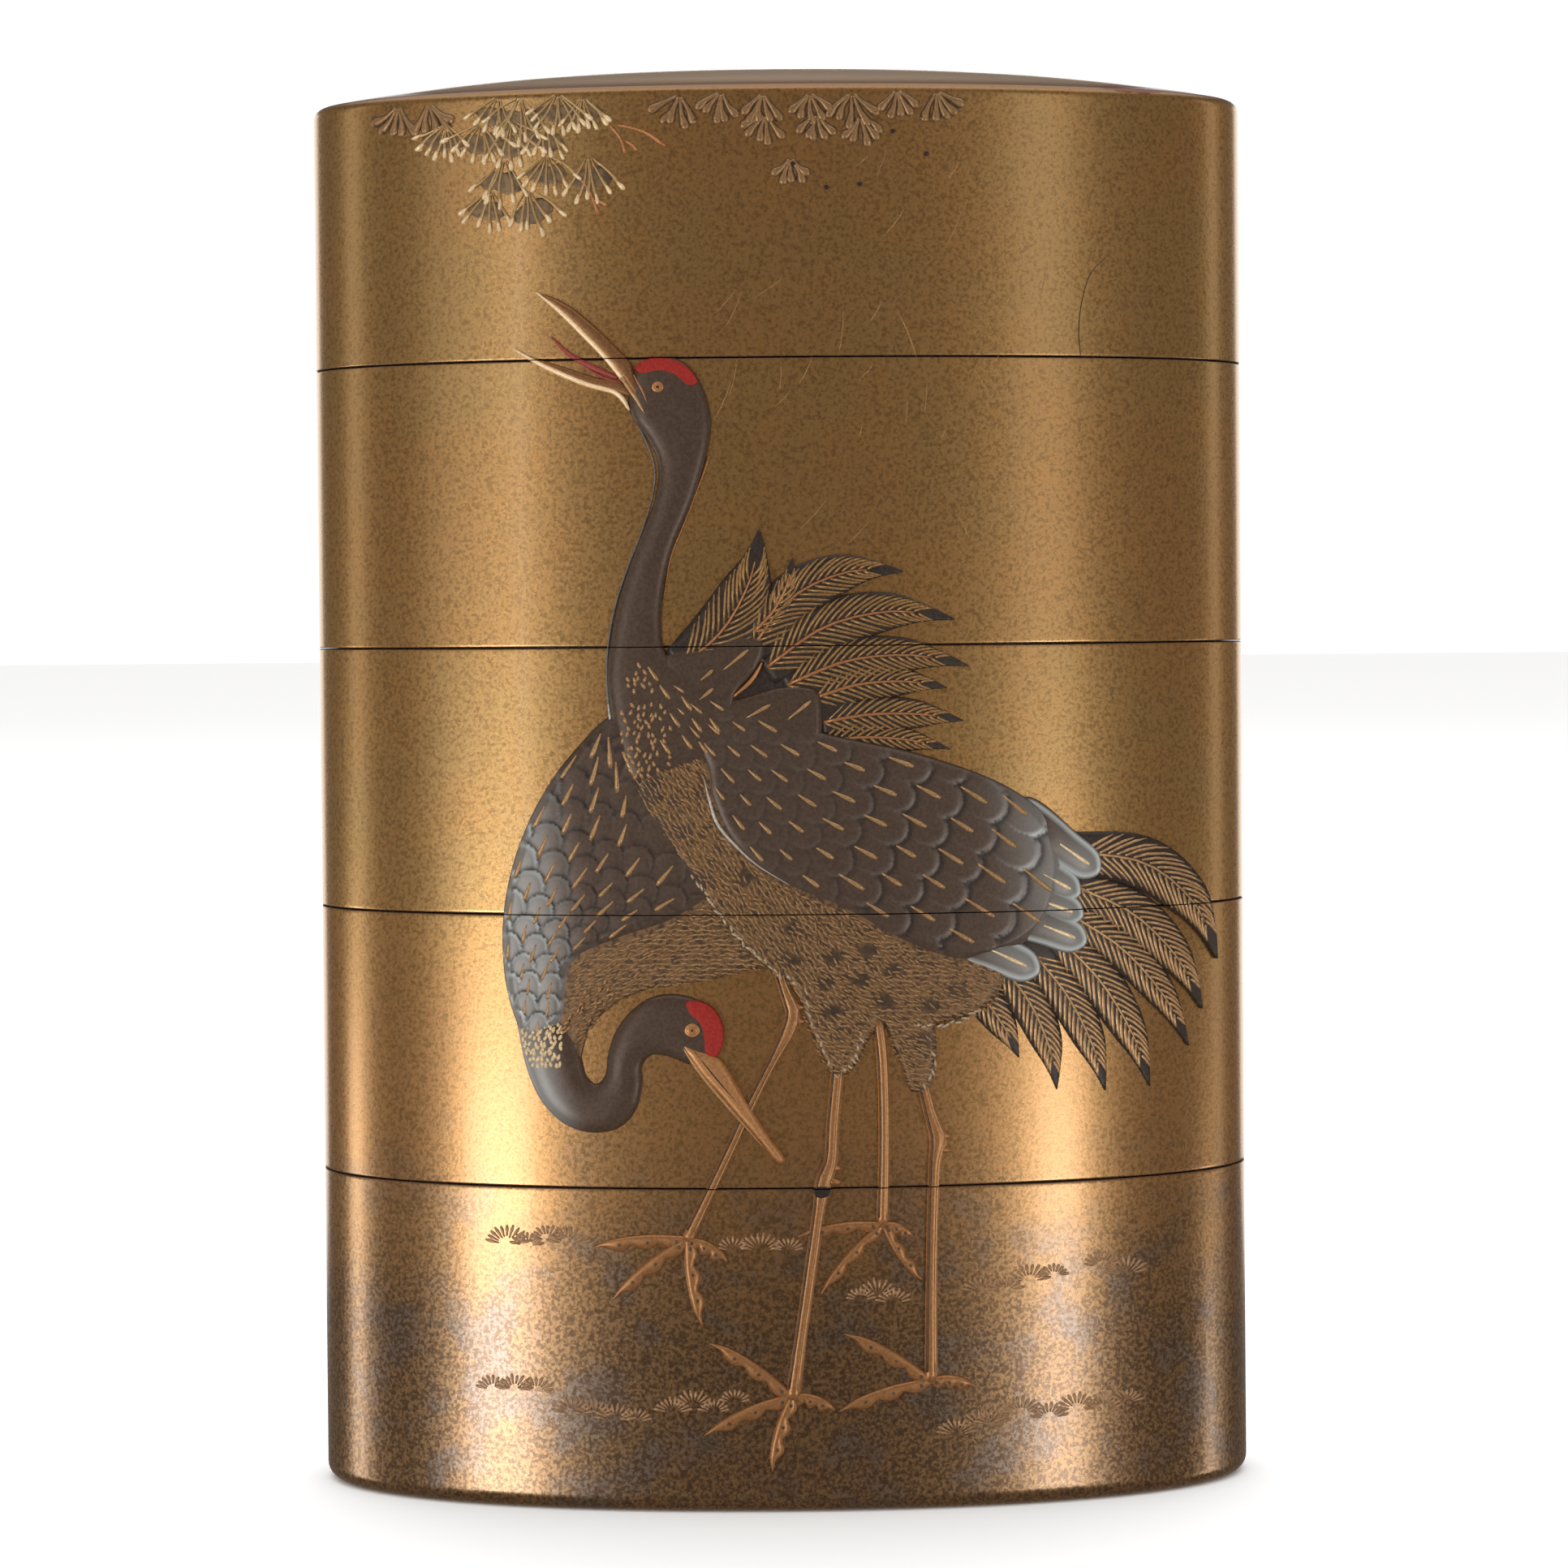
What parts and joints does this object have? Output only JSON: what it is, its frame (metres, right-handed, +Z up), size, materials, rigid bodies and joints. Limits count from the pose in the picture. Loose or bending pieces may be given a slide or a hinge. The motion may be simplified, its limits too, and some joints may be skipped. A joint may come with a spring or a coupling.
{
  "type": "inro case",
  "caption": "Flat oval lacquer case with a domed lid over stacked boxes, cord channels in the narrow ends and raised crane and pine decoration.",
  "frame": {"origin": "centre of the bounding box at the flat underside that the case stands on", "axes": "+Z up along the stack, X across the wide face, -Y towards the front with the cranes"},
  "size_m": [0.058, 0.0264, 0.0879],
  "materials": {
    "lid_lacquer": "gold powder lacquer over thin wood, semi-gloss, fine dark speckle",
    "case_lacquer": "gold powder lacquer over thin wood, semi-gloss, dark grey and red raised lacquer cranes",
    "base_lacquer": "gold powder lacquer fading to dark brown over thin wood, semi-gloss"
  },
  "bodies": {
    "root": {"lid": "lid_lacquer", "case_1": "case_lacquer", "case_2": "case_lacquer", "case_3": "case_lacquer", "case_4": "base_lacquer"}
  },
  "joints": []
}
